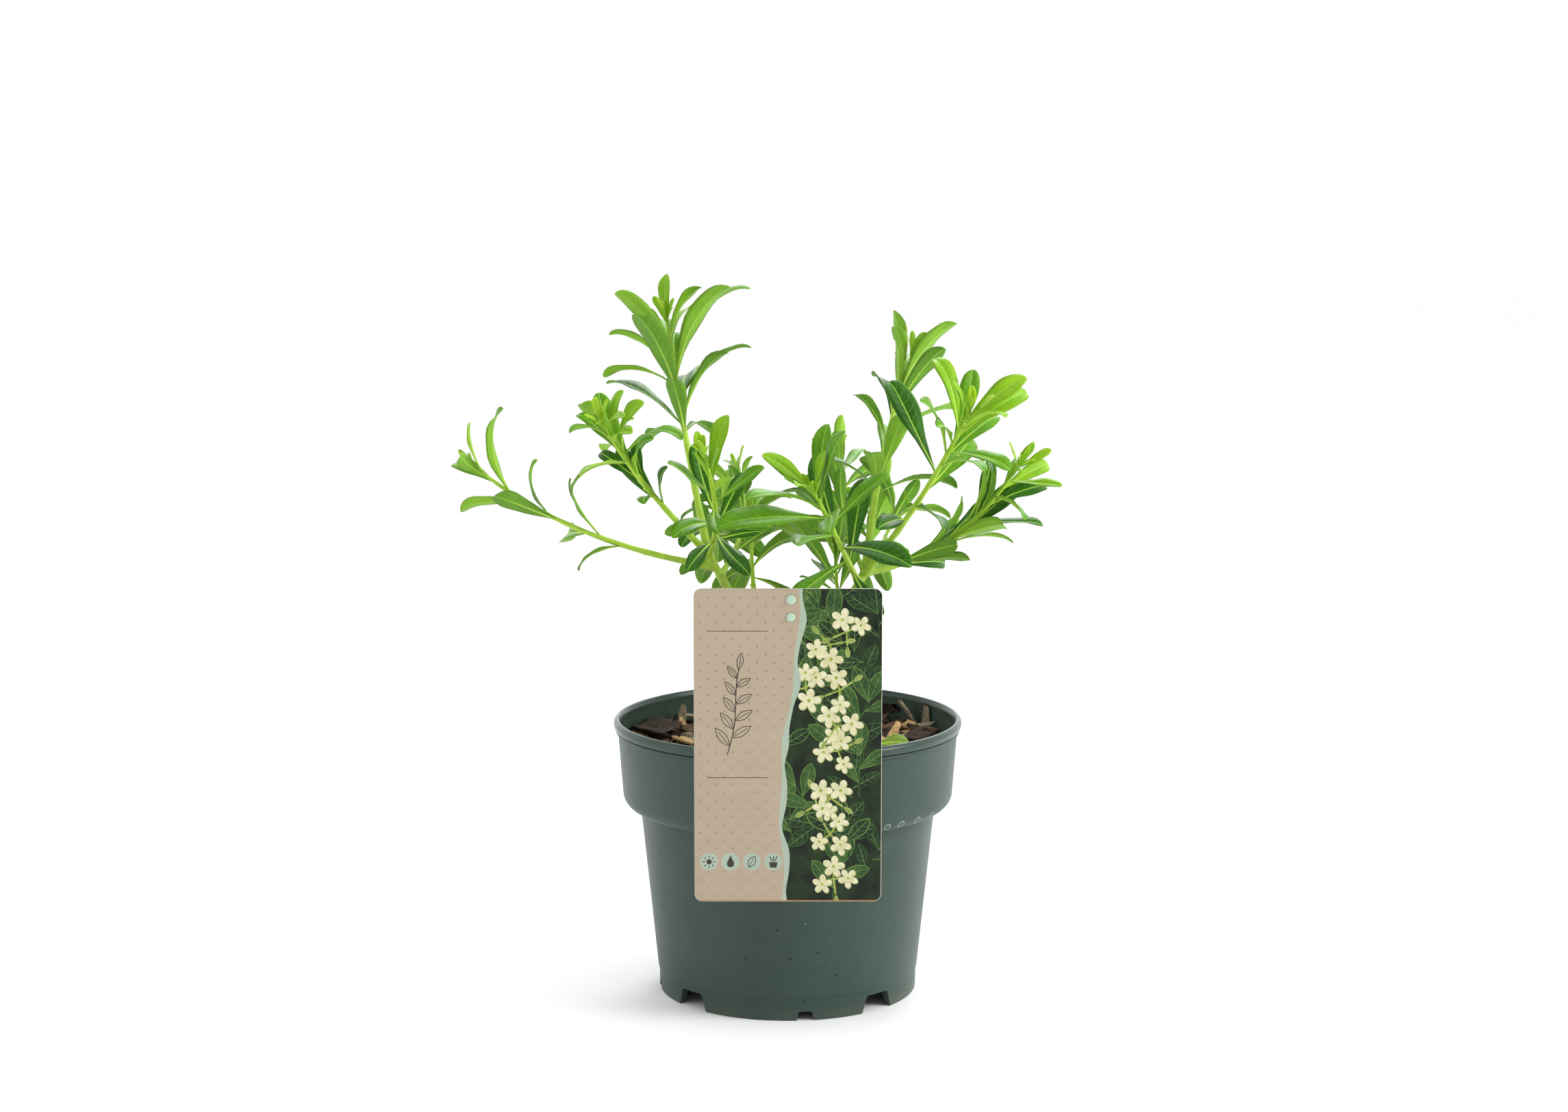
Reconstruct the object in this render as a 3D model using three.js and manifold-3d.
// Potted green mound pittosporum: a young evergreen shrub in two leafy clumps, in a soft plastic nursery
// pot, with bark mulch over its compost and a picture label on a stick.
// Millimetres, +Z up. The origin is on the floor at the pot's axis, and the label faces -Y.

import * as THREE from 'three';
import { mergeVertices } from 'three/addons/utils/BufferGeometryUtils.js';
import Module from 'manifold-3d';

const wasm = await Module();
wasm.setup();

// Driving dimensions
const GAP = 0.3; // between two pieces that touch
const WELD = 0.01; // corners nearer than this are one

const POT = {
  height: 150,
  rimRadius: 95, // outside of the rolled lip
  lipHeight: 5.4,
  collarTop: 92.7, // radius just under the lip
  collarFoot: 90, // radius where the shoulder starts to round
  bodyTop: 80.5, // radius under the shoulder
  bodyTopHeight: 101.6,
  bodyFoot: 71.2, // radius just above the foot line
  footLine: 12,
  footRadius: 70.4,
  skirtInner: 66.8,
  underside: 10.5, // height of the raised part of the underside
  hubRadius: 24, // the middle of the floor comes down to the ground
  wall: 1.8,
  floor: 2,
  sides: 48,
};
const DRAIN = { count: 8, radius: 3.5, ring: 46 };
const WIDE_NOTCH = { width: 21, height: 9.5, slope: 3, first: -47, count: 4 };
const SMALL_NOTCH = { width: 8.6, height: 5, slope: 0.6, first: 7.6, count: 4 };

const COMPOST_TOP = 122;
const MULCH_TOP = 133;
const MULCH = {
  chips: 56,
  spread: 74, // radius of the heap
  long: 22, // a middling chip
  wide: 12,
  thick: 3.8,
  clearOfTrunk: 17, // no chip starts nearer to the middle
  bare: 13, // radius of the flat place that the trunk stands on
  seed: 5,
};
const SPLINTERS = [
  { foot: [62, 44, 131], tip: [76, 50, 151], width: 6 },
  { foot: [30, 62, 131], tip: [52, 70, 143], width: 5 },
  { foot: [-62, 40, 131], tip: [-40, 52, 142], width: 7 },
];

const CARD = { width: 96, foot: 72.8, top: 236, thick: 0.6, back: -98, corner: 4 };
const KNOBS = { x: 1.5, heights: [230.3, 221.3], headRadii: [2.45, 2.25], neck: 1.5, headThick: 0.9 };
const STICK = { width: 9, thick: 2.4, foot: 122.4, footBack: -85.7, bend: 212, top: 234 };

// A limb is one smooth curve through foot, middle and tip; thick holds its radius at foot and tip.
const TRUNK = {
  name: 'trunk', foot: [0, 0, MULCH_TOP + GAP], middle: [0.3, 0.3, 146.5], tip: [1, 1, 160],
  thick: [7, 5.4], flare: 3.4, sides: 12, steps: 8,
};
const STEMS = [
  {
    name: 'left_stem', from: 'trunk',
    foot: [0, 0, 156], middle: [-19, 2, 194], tip: [-43, -2, 240], thick: [4.6, 3],
  },
  {
    name: 'right_stem', from: 'trunk',
    foot: [1, 1, 156], middle: [20, 5, 190], tip: [42, 3, 229], thick: [4.6, 3],
  },
  {
    name: 'middle_stem', from: 'trunk',
    foot: [0, 1, 156], middle: [-9, 15, 184], tip: [-18, 26, 209], thick: [3.2, 2.4],
  },
];

// One row for each leafy shoot, which grows from another limb. bare: the part of it below its leaves.
// crowd: how much the leaves gather at its tip. leaf: length of a middling leaf. open: degrees between
// leaf and shoot, low down and at the tip. arch: degrees that a leaf bends back. turn: direction of the
// lowest leaf, 0 to the front. fused: it is a twig of that other mass.
const SHOOTS = [
  {
    name: 'left_arm', from: 'left_stem',
    foot: [-39, -1, 233], middle: [-113, 6, 252], tip: [-171, 21, 285], thick: [2.2, 1.3],
    leaves: 11, bare: 0.28, crowd: 1.41, leaf: 43, open: [44, 29],
    arch: 48, turn: 315, seed: 96,
  },
  {
    name: 'left_fan', from: 'left_stem',
    foot: [-43, -2, 240], middle: [-74, -37, 280], tip: [-95, -65, 316], thick: [2.2, 1.3],
    leaves: 17, bare: 0.31, crowd: 1.49, leaf: 35, open: [25, 24],
    arch: 50, turn: 60, seed: 266,
  },
  {
    name: 'left_fan_twig', from: 'left_fan', fused: true,
    foot: [-69, -31, 273], middle: [-81, -41, 289], tip: [-89, -38, 306], thick: [1.4, 1],
    leaves: 7, bare: 0.5, crowd: 1.87, leaf: 33, open: [69, 35],
    arch: 61, turn: 135, seed: 383,
  },
  {
    name: 'left_leader', from: 'left_stem',
    foot: [-43, -2, 240], middle: [-56, 13, 305], tip: [-66, 31, 364], thick: [2.6, 1.4],
    leaves: 21, bare: 0.41, crowd: 1.18, leaf: 48, open: [49, 6],
    arch: 47, turn: 220, seed: 4,
  },
  {
    name: 'left_front', from: 'left_stem',
    foot: [-43, -2, 240], middle: [-38, -35, 264], tip: [-43, -64, 300], thick: [2.2, 1.4],
    leaves: 17, bare: 0.17, crowd: 1, leaf: 37, open: [73, 5],
    arch: 16, turn: 315, seed: 335,
  },
  {
    name: 'left_back', from: 'left_stem',
    foot: [-37, 0, 228], middle: [-25, 32, 251], tip: [-28, 53, 279], thick: [1.8, 1.1],
    leaves: 11, bare: 0.19, crowd: 1, leaf: 31, open: [46, 13],
    arch: 41, turn: 30, seed: 110,
  },
  {
    name: 'middle_low', from: 'middle_stem',
    foot: [-18, 26, 209], middle: [-20, 47, 230], tip: [-20, 54, 252], thick: [1.8, 1.1],
    leaves: 14, bare: 0.23, crowd: 1.85, leaf: 47, open: [72, 22],
    arch: 85, turn: 120, seed: 279,
  },
  {
    name: 'right_front', from: 'right_stem',
    foot: [39, 4, 223], middle: [28, -38, 249], tip: [14, -72, 281], thick: [2.2, 1.4],
    leaves: 17, bare: 0.15, crowd: 2.2, leaf: 49, open: [56, 22],
    arch: 24, turn: 0, seed: 204,
  },
  {
    name: 'right_back', from: 'right_stem',
    foot: [42, 3, 229], middle: [32, 32, 253], tip: [28, 66, 285], thick: [1.8, 1.1],
    leaves: 14, bare: 0.43, crowd: 1.35, leaf: 37, open: [25, 20],
    arch: 12, turn: 345, seed: 91,
  },
  {
    name: 'right_leader', from: 'right_stem',
    foot: [42, 3, 229], middle: [52, 17, 290], tip: [68, 46, 343], thick: [2.4, 1.4],
    leaves: 19, bare: 0.28, crowd: 1.53, leaf: 44, open: [37, 15],
    arch: 47, turn: 345, seed: 82,
  },
  {
    name: 'right_high', from: 'right_stem',
    foot: [42, 3, 229], middle: [71, -21, 273], tip: [93, -47, 318], thick: [2.4, 1.4],
    leaves: 22, bare: 0.3, crowd: 1.65, leaf: 46, open: [61, 18],
    arch: 39, turn: 345, seed: 43,
  },
  {
    name: 'right_arm', from: 'right_stem',
    foot: [42, 3, 229], middle: [88, 11, 246], tip: [123, -20, 290], thick: [2.4, 1.4],
    leaves: 24, bare: 0.12, crowd: 1.32, leaf: 41, open: [25, 32],
    arch: 27, turn: 345, seed: 15,
  },
  {
    name: 'right_inner', from: 'right_high',
    foot: [50, -3, 240], middle: [56, 27, 250], tip: [63, 39, 258], thick: [1.4, 1],
    leaves: 7, bare: 0.5, crowd: 1, leaf: 34, open: [29, 9],
    arch: 43, turn: 225, seed: 114,
  },
  {
    name: 'middle_right', from: 'right_stem',
    foot: [30, 5, 207], middle: [27, 8, 220], tip: [26, 15, 238], thick: [1.6, 1],
    leaves: 10, bare: 0.35, crowd: 1.12, leaf: 38, open: [56, 26],
    arch: 17, turn: 285, seed: 14,
  },
  {
    name: 'left_rear', from: 'left_stem',
    foot: [-37, 0, 228], middle: [-43, 52, 239], tip: [-38, 96, 253], thick: [2, 1.3],
    leaves: 14, bare: 0.24, crowd: 1.56, leaf: 37, open: [31, 7],
    arch: 51, turn: 255, seed: 273,
  },
  {
    name: 'right_rear', from: 'right_stem',
    foot: [41, 3, 227], middle: [45, 60, 236], tip: [49, 98, 252], thick: [2, 1.3],
    leaves: 15, bare: 0.15, crowd: 1, leaf: 43, open: [36, 19],
    arch: 85, turn: 45, seed: 323,
  },
];

const GOLDEN = 137.5; // degrees from one leaf round to the next
const STEPS = 12; // straight steps along a midrib
const LEAF = {
  keel: 0.9, // depth of the midrib under the blade
  fold: 0.12, // how far each half of the blade turns up, in radians
  stalk: 1.1, // half width of its root
  blunt: 0.28, // width of its tip, as a share of the widest
  stations: [0, 5, 9, 12], // the steps at which the solid leaf has a section
  clear: 4.5, // distance to the leaves of other masses
  clearOfLimb: 2.6,
};

const MATERIALS = {
  pot: new THREE.MeshStandardMaterial({ color: 0x55675c, roughness: 0.55, metalness: 0 }),
  compost: new THREE.MeshStandardMaterial({ color: 0x2e241c, roughness: 0.95, metalness: 0 }),
  bark: new THREE.MeshStandardMaterial({ color: 0x5b4232, roughness: 0.9, metalness: 0 }),
  card: new THREE.MeshStandardMaterial({ color: 0xc0b19c, roughness: 0.4, metalness: 0 }),
  stick: new THREE.MeshStandardMaterial({ color: 0xc5d9c5, roughness: 0.45, metalness: 0 }),
  stem: new THREE.MeshStandardMaterial({ color: 0x8a8a45, roughness: 0.7, metalness: 0 }),
  leaf: new THREE.MeshStandardMaterial({ color: 0x4c8b34, roughness: 0.4, metalness: 0 }),
};

const plant = new THREE.Group();
plant.name = 'potted_green_mound_pittosporum';

// Small helpers
const rad = THREE.MathUtils.degToRad;
const mix = THREE.MathUtils.lerp;
const vec = ([x, y, z]) => new THREE.Vector3(x, y, z);

// The first direction, turned by an angle towards the second, which is square to it.
const turnTo = (a, b, angle) => a.clone().multiplyScalar(Math.cos(angle)).addScaledVector(b, Math.sin(angle));

// Random numbers from 0 to 1, the same ones each time for the same seed.
function dice(seed) {
  let state = (seed * 2654435 + 12345) % 4294967296;
  const roll = () => {
    state = (state * 1664525 + 1013904223) % 4294967296;
    return state / 4294967296;
  };
  for (let i = 0; i < 3; i++) roll();
  return roll;
}

function solidFrom(positions, triangles) {
  const build = (triVerts) => {
    const mesh = new wasm.Mesh({ numProp: 3, vertProperties: positions, triVerts });
    return new wasm.Manifold(mesh);
  };
  const made = build(triangles);
  if (made.volume() > 0) return made;
  return build(triangles.slice().reverse());
}

// The triangles that keep an area once near corners are one, without pairs that lie back to back.
function soundTriangles(corners) {
  const kept = new Map();
  for (let i = 0; i < corners.length; i += 3) {
    const triangle = [...corners.slice(i, i + 3)];
    if (new Set(triangle).size < 3) continue;
    const key = triangle.slice().sort((a, b) => a - b).join();
    if (kept.has(key)) kept.delete(key);
    else kept.set(key, triangle);
  }
  return [...kept.values()].flat();
}

// A closed three.js geometry as a solid, with its faces outwards.
function toSolid(geometry) {
  const loose = geometry.index ? geometry.toNonIndexed() : geometry;
  const bare = new THREE.BufferGeometry().setAttribute('position', loose.getAttribute('position'));
  const merged = mergeVertices(bare, 1e-3);
  const triangles = new Uint32Array(soundTriangles(merged.index.array));
  return solidFrom(merged.attributes.position.array, triangles);
}

function addPiece(name, solid, material) {
  const { vertProperties, triVerts } = solid.getMesh();
  const joined = new THREE.BufferGeometry();
  joined.setAttribute('position', new THREE.BufferAttribute(vertProperties, 3));
  joined.setIndex(new THREE.BufferAttribute(triVerts, 1));
  const geometry = mergeVertices(joined, WELD);
  geometry.setIndex(soundTriangles(geometry.index.array));
  geometry.computeVertexNormals();
  const mesh = new THREE.Mesh(geometry, material);
  mesh.name = name;
  plant.add(mesh);
}

const fuse = (solids) => wasm.Manifold.union(solids);

function largestBody(solid) {
  const bodies = solid.decompose();
  return bodies.reduce((best, body) => (body.volume() > best.volume() ? body : best));
}

// A closed solid through rings that have the same number of points each.
function loft(rings) {
  const sides = rings[0].length;
  const triangles = [];
  for (let r = 0; r + 1 < rings.length; r++) {
    for (let i = 0; i < sides; i++) {
      const a = r * sides + i;
      const b = r * sides + ((i + 1) % sides);
      triangles.push(a, b, b + sides, a, b + sides, a + sides);
    }
  }
  const last = (rings.length - 1) * sides;
  for (let i = 1; i + 1 < sides; i++) {
    triangles.push(0, i + 1, i, last, last + i, last + i + 1);
  }
  const positions = new Float32Array(rings.flat().flatMap((p) => p.toArray()));
  return solidFrom(positions, new Uint32Array(triangles));
}

// Limbs
function limbPoint(limb, t) {
  const [a, m, b] = [vec(limb.foot), vec(limb.middle), vec(limb.tip)];
  const bow = m.multiplyScalar(2).addScaledVector(a, -0.5).addScaledVector(b, -0.5);
  return a.multiplyScalar((1 - t) ** 2).addScaledVector(bow, 2 * t * (1 - t)).addScaledVector(b, t * t);
}

function limbDirection(limb, t) {
  const [a, m, b] = [vec(limb.foot), vec(limb.middle), vec(limb.tip)];
  const bow = m.multiplyScalar(2).addScaledVector(a, -0.5).addScaledVector(b, -0.5);
  const first = bow.clone().sub(a).multiplyScalar(1 - t);
  return first.addScaledVector(b.sub(bow), t).normalize();
}

// Two directions square to the limb: the first towards the front, the second turned from it.
function limbFrame(direction) {
  const front = new THREE.Vector3(0, -1, 0).addScaledVector(direction, direction.y).normalize();
  return [front, direction.clone().cross(front)];
}

const limbRadius = (limb, t) => mix(limb.thick[0], limb.thick[1], t) + (limb.flare ?? 0) * Math.exp(-9 * t);

function limbSolid(limb, from, to, { sides = 6, steps = 6, grow = 0 } = {}) {
  const rings = [];
  for (let k = 0; k <= steps; k++) {
    const t = mix(from, to, k / steps);
    const direction = limbDirection(limb, t);
    const [front, across] = limbFrame(direction);
    const centre = limbPoint(limb, t);
    if (k === 0) centre.addScaledVector(direction, -grow);
    if (k === steps) centre.addScaledVector(direction, grow);
    const radius = limbRadius(limb, t) + grow;
    const ring = [];
    for (let i = 0; i < sides; i++) {
      const outward = turnTo(front, across, (2 * Math.PI * i) / sides);
      ring.push(centre.clone().addScaledVector(outward, radius));
    }
    rings.push(ring);
  }
  return loft(rings);
}

function limbLength(limb) {
  let length = 0;
  for (let i = 0; i < 20; i++) length += limbPoint(limb, i / 20).distanceTo(limbPoint(limb, (i + 1) / 20));
  return length;
}

// Where on a limb's middle line a point is nearest to it.
function nearestOn(limb, point, from = 0) {
  let best = limbPoint(limb, from);
  for (let i = 1; i <= 40; i++) {
    const here = limbPoint(limb, mix(from, 1, i / 40));
    if (here.distanceTo(point) < best.distanceTo(point)) best = here;
  }
  return best;
}

// Leaves: where each leaf of a shoot stands, and how it is shaped
function leafPlan(shoot) {
  const roll = dice(shoot.seed);
  const plan = [];
  for (let k = 0; k < shoot.leaves; k++) {
    const j = Array.from({ length: 8 }, () => roll() - 0.5);
    const u = k / (shoot.leaves - 1);
    const spread = 1 - (1 - shoot.bare) * (1 - u) ** shoot.crowd + 0.1 * j[6] * (1 - u);
    const young = Math.max(0, (u - 0.7) / 0.3);
    const size = (0.84 + 0.26 * Math.sin(Math.PI * Math.min(1, u / 0.8))) * (1 - 0.62 * young ** 1.5);
    const length = shoot.leaf * size * (1 + 0.5 * j[0]);
    plan.push({
      t: Math.min(1, Math.max(shoot.bare + 0.05, spread)),
      turn: rad(shoot.turn + GOLDEN * k + 60 * j[1]),
      open: rad(mix(shoot.open[0], shoot.open[1], u ** 1.2) + 34 * j[2]),
      bend: rad(mix(shoot.arch, 0.45 * shoot.arch, young) + 50 * j[3]),
      sweep: rad(50 * j[4]),
      roll: rad(60 * j[5]),
      length,
      width: length * (0.3 + 0.07 * j[7]),
      young,
    });
  }
  return plan;
}

const leafWidthAt = (q) => 0.07 * (1 - q) + (q ** 1.25 * Math.max(0, 1 - q ** 3.6) ** 0.6) / 0.53;

// The midrib of a leaf in STEPS straight steps, with the direction to its side and out of its upper face.
function leafSpine(shoot, leaf) {
  const shootwards = limbDirection(shoot, leaf.t);
  const [front, across] = limbFrame(shootwards);
  const outward = turnTo(front, across, leaf.turn);
  const sideways = shootwards.clone().cross(outward);
  const point = limbPoint(shoot, leaf.t).addScaledVector(outward, 0.4 * limbRadius(shoot, leaf.t));
  const spine = [];
  for (let i = 0; i <= STEPS; i++) {
    const q = i / STEPS;
    const hook = Math.max(0, (q - 0.7) / 0.3) ** 2 * 0.5 * (1 - 0.5 * leaf.young);
    const lean = leaf.open + leaf.bend * q ** 1.4 + hook;
    const along = turnTo(shootwards, outward, lean);
    const upper = turnTo(shootwards, outward, lean - Math.PI / 2);
    const level = turnTo(sideways, along, -leaf.sweep * q);
    spine.push({
      point: point.clone(),
      side: turnTo(level, upper, leaf.roll * q),
      up: turnTo(upper, level, -leaf.roll * q),
    });
    point.addScaledVector(turnTo(along, sideways, leaf.sweep * q), leaf.length / STEPS);
  }
  return spine;
}

// A thin blade with two edges and a keel under its midrib, its root sunk in the shoot.
function leafSolid(leaf, spine) {
  const rings = LEAF.stations.map((i) => {
    const q = i / STEPS;
    const { point, side, up } = spine[i];
    const least = i === 0 ? LEAF.stalk : LEAF.blunt * leaf.width * 0.5;
    const half = Math.max(leafWidthAt(q) * leaf.width * 0.5, least);
    const rightEdge = point.clone().addScaledVector(turnTo(side, up, LEAF.fold), half);
    const leftEdge = point.clone().addScaledVector(turnTo(side, up, Math.PI - LEAF.fold), half);
    return [rightEdge, leftEdge, point.clone().addScaledVector(up, -LEAF.keel * (1 - 0.4 * q))];
  });
  return loft(rings);
}

// Points on a leaf's edges and midrib, from its first sixth on.
function leafSamples(leaf, spine) {
  return spine.slice(2).flatMap(({ point, side }, i) => {
    const half = leafWidthAt((i + 2) / STEPS) * leaf.width * 0.5;
    return [-0.8, 0, 0.8].map((s) => point.clone().addScaledVector(side, s * half));
  });
}

function isNear(samples, points, distance) {
  return samples.some((a) => points.some((b) => a.distanceToSquared(b) < distance * distance));
}

// Pot
function potProfile() {
  const p = POT;
  const inner = p.wall;
  const shoulder = p.collarFoot - p.bodyTop;
  const arcHeight = p.bodyTopHeight + shoulder;
  const arc = (radius, t) => [p.bodyTop + radius * Math.sin(t), arcHeight - radius * Math.cos(t)];
  const quarter = [0, 1, 2, 3, 4].map((i) => (i * Math.PI) / 8);
  const lipFoot = p.height - p.lipHeight;
  return [
    [0, 0],
    [p.hubRadius, 0],
    [p.hubRadius + 1, p.underside],
    [p.skirtInner - 0.8, p.underside],
    [p.skirtInner, 0],
    [p.footRadius, 0],
    [p.bodyFoot - 0.4, p.footLine - 0.3],
    [p.bodyFoot, p.footLine],
    ...quarter.map((t) => arc(shoulder, t)),
    [p.collarTop, lipFoot],
    [p.rimRadius - 0.8, lipFoot + 0.4],
    [p.rimRadius, lipFoot + 1.6],
    [p.rimRadius, p.height - 1.6],
    [p.rimRadius - 0.9, p.height - 0.3],
    [p.rimRadius - 2, p.height],
    [p.collarTop - inner + 0.7, p.height - 0.4],
    [p.collarTop - inner, p.height - 1.6],
    [p.collarFoot - inner, arcHeight],
    ...quarter.slice(0, 4).reverse().map((t) => arc(shoulder - inner, t)),
    [p.bodyTop - inner, p.bodyTopHeight + inner],
    [p.bodyFoot - inner, p.underside + p.floor],
    [p.hubRadius + 3, p.underside + p.floor],
    [p.hubRadius - 0.8, p.underside + p.floor],
    [p.hubRadius - inner, p.floor],
    [0, p.floor],
  ];
}

function turned(profile, sides = POT.sides) {
  const points = profile.map(([radius, height]) => new THREE.Vector2(radius, height));
  return toSolid(new THREE.LatheGeometry(points, sides).rotateX(Math.PI / 2));
}

function footNotch({ width, height, slope }, degrees) {
  const outline = new THREE.Shape();
  outline.moveTo(-width / 2, -1);
  outline.lineTo(width / 2, -1);
  outline.lineTo(width / 2 - slope, height);
  outline.lineTo(-width / 2 + slope, height);
  outline.closePath();
  const block = new THREE.ExtrudeGeometry(outline, { depth: 14, bevelEnabled: false });
  block.rotateX(Math.PI / 2).translate(0, -(POT.skirtInner - 5), 0).rotateZ(rad(degrees));
  return toSolid(block);
}

function drainHole(index) {
  const angle = (2 * Math.PI * (index + 0.5)) / DRAIN.count;
  const drill = new THREE.CylinderGeometry(DRAIN.radius, DRAIN.radius, 10, 12).rotateX(Math.PI / 2);
  drill.translate(DRAIN.ring * Math.cos(angle), DRAIN.ring * Math.sin(angle), POT.underside);
  return toSolid(drill);
}

function makePot() {
  const cuts = [];
  for (const notch of [WIDE_NOTCH, SMALL_NOTCH]) {
    const between = 360 / notch.count;
    for (let i = 0; i < notch.count; i++) cuts.push(footNotch(notch, notch.first + between * i));
  }
  for (let i = 0; i < DRAIN.count; i++) cuts.push(drainHole(i));
  return turned(potProfile()).subtract(fuse(cuts));
}

// Radius of the room inside the pot at a height above its shoulder.
function roomRadius(height) {
  const arcHeight = POT.bodyTopHeight + POT.collarFoot - POT.bodyTop;
  const rise = (height - arcHeight) / (POT.height - 1.6 - arcHeight);
  return mix(POT.collarFoot, POT.collarTop, rise) - POT.wall;
}

function makeCompost() {
  const p = POT;
  const floor = p.underside + p.floor + GAP;
  const inset = p.wall + 0.4;
  const shoulder = p.bodyTopHeight + p.wall + GAP;
  return turned([
    [0, p.floor + GAP],
    [p.hubRadius - inset, p.floor + GAP],
    [p.hubRadius - 1.2, floor],
    [p.bodyFoot - inset, floor],
    [p.bodyTop - inset, shoulder],
    [p.bodyTop + 2.2, shoulder + 1],
    [p.collarFoot - inset - 1.6, shoulder + 5.2],
    [roomRadius(COMPOST_TOP - 8) - 0.5, COMPOST_TOP - 8],
    [roomRadius(COMPOST_TOP) - 0.4, COMPOST_TOP],
    [0, COMPOST_TOP],
  ]);
}

// Mulch: an even bed with flat chips of bark half sunk in it
function barkChip(roll, x, y) {
  const about = (size) => size * (0.6 + 0.8 * roll());
  const [long, wide, thick] = [MULCH.long, MULCH.wide, MULCH.thick].map(about);
  const outline = new THREE.Shape();
  outline.moveTo(-long / 2, -wide * (0.2 + 0.3 * roll()));
  outline.lineTo(long * (0.2 + 0.2 * roll()), -wide / 2);
  outline.lineTo(long / 2, wide * (0.4 * roll() - 0.1));
  outline.lineTo(-long * (0.1 + 0.3 * roll()), wide / 2);
  outline.closePath();
  const chip = new THREE.ExtrudeGeometry(outline, { depth: thick, bevelEnabled: false });
  chip.rotateX(rad(40 * (roll() - 0.5))).rotateY(rad(40 * (roll() - 0.5))).rotateZ(2 * Math.PI * roll());
  return toSolid(chip.translate(x, y, MULCH_TOP - thick * (0.2 + 0.5 * roll())));
}

// A long flat splinter that stands out of the mulch.
function splinter({ foot, tip, width }) {
  const [a, b] = [vec(foot), vec(tip)];
  const along = b.clone().sub(a).normalize();
  const side = along.clone().cross(new THREE.Vector3(0, 0, 1)).normalize();
  const face = side.clone().cross(along);
  const corners = [[1, 1], [-1, 1], [-1, -1], [1, -1]];
  const ring = (t, half, thick) => corners.map(([i, j]) =>
    a.clone().lerp(b, t).addScaledVector(side, i * half).addScaledVector(face, j * thick));
  return loft([ring(0, width / 2, 1.4), ring(0.6, width / 2, 1.2), ring(1, width / 5, 0.5)]);
}

function makeMulch() {
  const foot = COMPOST_TOP + GAP;
  const footRadius = roomRadius(foot) - 0.5;
  const bed = [[0, foot], [footRadius, foot], [roomRadius(MULCH_TOP) - 0.5, MULCH_TOP], [0, MULCH_TOP]];
  const roll = dice(MULCH.seed);
  const chips = [];
  for (let k = 0; k < MULCH.chips; k++) {
    const radius = MULCH.spread * Math.sqrt((k + 0.5) / MULCH.chips);
    const angle = rad(GOLDEN * k);
    const [x, y] = [radius * Math.cos(angle), radius * Math.sin(angle)];
    const chip = barkChip(roll, x, y);
    if (radius > MULCH.clearOfTrunk) chips.push(chip);
  }
  const top = POT.height + 6;
  const room = [[0, foot], [footRadius, foot], [roomRadius(POT.height) - 1, top], [0, top]];
  const heap = fuse([...chips, ...SPLINTERS.map(splinter)]).intersect(turned(room));
  const { bare } = MULCH;
  const flat = new THREE.CylinderGeometry(bare, bare, 30, 16).rotateX(Math.PI / 2);
  flat.translate(0, 0, MULCH_TOP + 15);
  return largestBody(fuse([turned(bed), heap]).subtract(toSolid(flat)).subtract(makeStick(GAP)));
}

// Label: a card held by two push-through knobs on a bent stick
function makeCard() {
  const half = CARD.width / 2 - CARD.corner;
  const [low, high] = [CARD.foot + CARD.corner, CARD.top - CARD.corner];
  const outline = new THREE.Shape();
  outline.absarc(half, low, CARD.corner, -Math.PI / 2, 0, false);
  outline.absarc(half, high, CARD.corner, 0, Math.PI / 2, false);
  outline.absarc(-half, high, CARD.corner, Math.PI / 2, Math.PI, false);
  outline.absarc(-half, low, CARD.corner, Math.PI, 1.5 * Math.PI, false);
  outline.closePath();
  for (const height of KNOBS.heights) {
    const hole = new THREE.Path();
    hole.absarc(KNOBS.x, height, KNOBS.neck + GAP, 0, 2 * Math.PI, true);
    outline.holes.push(hole);
  }
  const sheet = { depth: CARD.thick, bevelEnabled: false, curveSegments: 6 };
  return toSolid(new THREE.ExtrudeGeometry(outline, sheet).rotateX(Math.PI / 2).translate(0, CARD.back, 0));
}

function makeStick(grow = 0) {
  const half = STICK.thick / 2;
  const top = CARD.back + GAP + half;
  const outline = new THREE.Shape();
  outline.moveTo(STICK.footBack - half - grow, STICK.foot - grow);
  outline.lineTo(STICK.footBack + half + grow, STICK.foot - grow);
  outline.lineTo(top + half + grow, STICK.bend);
  outline.lineTo(top + half + grow, STICK.top + grow);
  outline.lineTo(top - half - grow, STICK.top + grow);
  outline.lineTo(top - half - grow, STICK.bend);
  outline.closePath();
  const bar = new THREE.ExtrudeGeometry(outline, { depth: STICK.width + 2 * grow, bevelEnabled: false });
  const upright = new THREE.Matrix4().makeBasis(
    new THREE.Vector3(0, 1, 0), new THREE.Vector3(0, 0, 1), new THREE.Vector3(1, 0, 0),
  );
  bar.applyMatrix4(upright).translate(KNOBS.x - STICK.width / 2 - grow, 0, 0);
  const parts = [toSolid(bar)];
  const front = CARD.back - CARD.thick - GAP;
  KNOBS.heights.forEach((height, i) => {
    const radius = KNOBS.headRadii[i];
    const neckLength = top - front;
    const neck = new THREE.CylinderGeometry(KNOBS.neck, KNOBS.neck, neckLength, 16);
    const head = new THREE.CylinderGeometry(radius, radius * 0.8, KNOBS.headThick, 16);
    parts.push(toSolid(neck.translate(KNOBS.x, top - neckLength / 2 - 0.1, height)));
    parts.push(toSolid(head.translate(KNOBS.x, front - KNOBS.headThick / 2, height)));
  });
  return fuse(parts);
}

// Plant: limbs first, then one foliage mass on each shoot
const limbs = new Map();
const fattened = new Map(); // for each limb, the solids that its children keep clear of
const limbSamples = []; // { owner, point, radius }
const leafPoints = new Map(); // for each mass, the points of its leaves

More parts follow.
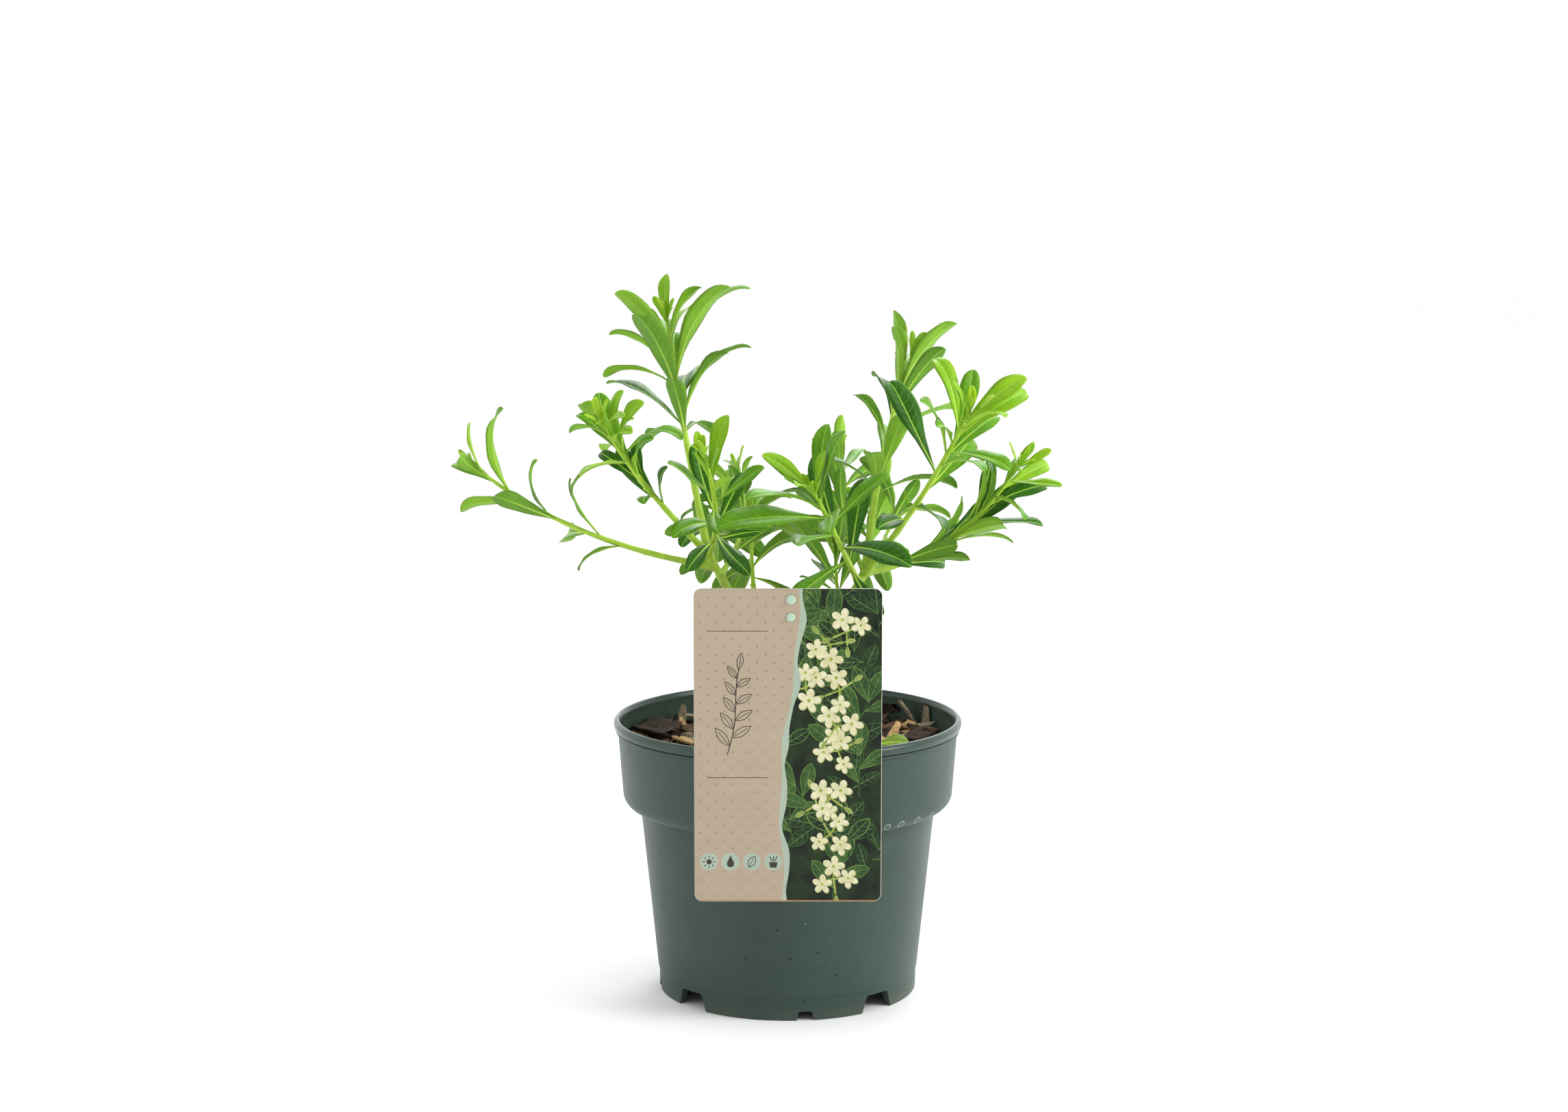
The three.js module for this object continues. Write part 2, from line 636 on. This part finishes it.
function addLimb(limb, piece, to, shape = {}) {
  limbs.set(limb.name, limb);
  const fat = limbSolid(limb, 0, to, { ...shape, grow: GAP });
  let solid = limbSolid(limb, 0, to, shape);
  if (limb.from) {
    const neighbours = fattened.get(limb.from);
    solid = largestBody(solid.subtract(fuse(neighbours)));
    neighbours.push(fat);
  }
  fattened.set(limb.name, [fat]);
  addPiece(piece, solid, limb.from ? MATERIALS.stem : MATERIALS.bark);
}

// A fused twig starts among its parent's leaves, any other limb anywhere on its parent.
function snapFoot(limb) {
  const parent = limbs.get(limb.from);
  limb.foot = nearestOn(parent, vec(limb.foot), limb.fused ? parent.bare + 0.1 : 0).toArray();
}

function sampleLimb(owner, limb, from, to) {
  for (let i = 0; i <= 16; i++) {
    const t = mix(from, to, i / 16);
    limbSamples.push({ owner, point: limbPoint(limb, t), radius: limbRadius(limb, t) });
  }
}

// A leaf is left out where it would touch a limb or a leaf of another mass.
function isClear(mass, samples) {
  for (const { owner, point, radius } of limbSamples) {
    if (owner !== mass && isNear(samples, [point], radius + LEAF.clearOfLimb)) return false;
  }
  for (const [other, points] of leafPoints) {
    if (other !== mass && isNear(samples, points, LEAF.clear)) return false;
  }
  return true;
}

function growLeaves(mass, shoot) {
  const solids = [];
  for (const leaf of leafPlan(shoot)) {
    const spine = leafSpine(shoot, leaf);
    const samples = leafSamples(leaf, spine);
    if (!isClear(mass, samples)) continue;
    leafPoints.get(mass).push(...samples);
    solids.push(leafSolid(leaf, spine));
  }
  return solids;
}

function growMass(shoot) {
  const twigs = SHOOTS.filter((row) => row.fused && row.from === shoot.name);
  const start = shoot.bare + GAP / limbLength(shoot);
  const solids = [limbSolid(shoot, start, 1, { sides: 5, steps: 6 }), ...growLeaves(shoot.name, shoot)];
  for (const twig of twigs) {
    solids.push(limbSolid(twig, 0, 1, { sides: 5, steps: 3 }), ...growLeaves(shoot.name, twig));
  }
  return largestBody(fuse(solids));
}

function makePlant() {
  addLimb(TRUNK, TRUNK.name, 1, { sides: TRUNK.sides, steps: TRUNK.steps });
  sampleLimb(TRUNK.name, TRUNK, 0, 1);
  for (const stem of STEMS) {
    snapFoot(stem);
    addLimb(stem, stem.name, 1, { sides: 8 });
    sampleLimb(stem.name, stem, 0, 1);
  }
  const leaders = SHOOTS.filter((row) => !row.fused);
  for (const shoot of leaders) {
    snapFoot(shoot);
    addLimb(shoot, `${shoot.name}_bough`, shoot.bare);
    sampleLimb(`${shoot.name}_bough`, shoot, 0, shoot.bare - 0.03);
    sampleLimb(shoot.name, shoot, shoot.bare, 1);
    leafPoints.set(shoot.name, []);
  }
  for (const twig of SHOOTS.filter((row) => row.fused)) {
    snapFoot(twig);
    sampleLimb(twig.from, twig, 0.1, 1);
  }
  for (const shoot of leaders) addPiece(`${shoot.name}_foliage`, growMass(shoot), MATERIALS.leaf);
}

addPiece('pot', makePot(), MATERIALS.pot);
addPiece('compost', makeCompost(), MATERIALS.compost);
addPiece('bark_mulch', makeMulch(), MATERIALS.bark);
addPiece('label_card', makeCard(), MATERIALS.card);
addPiece('label_stick', makeStick(), MATERIALS.stick);
makePlant();

export default plant;
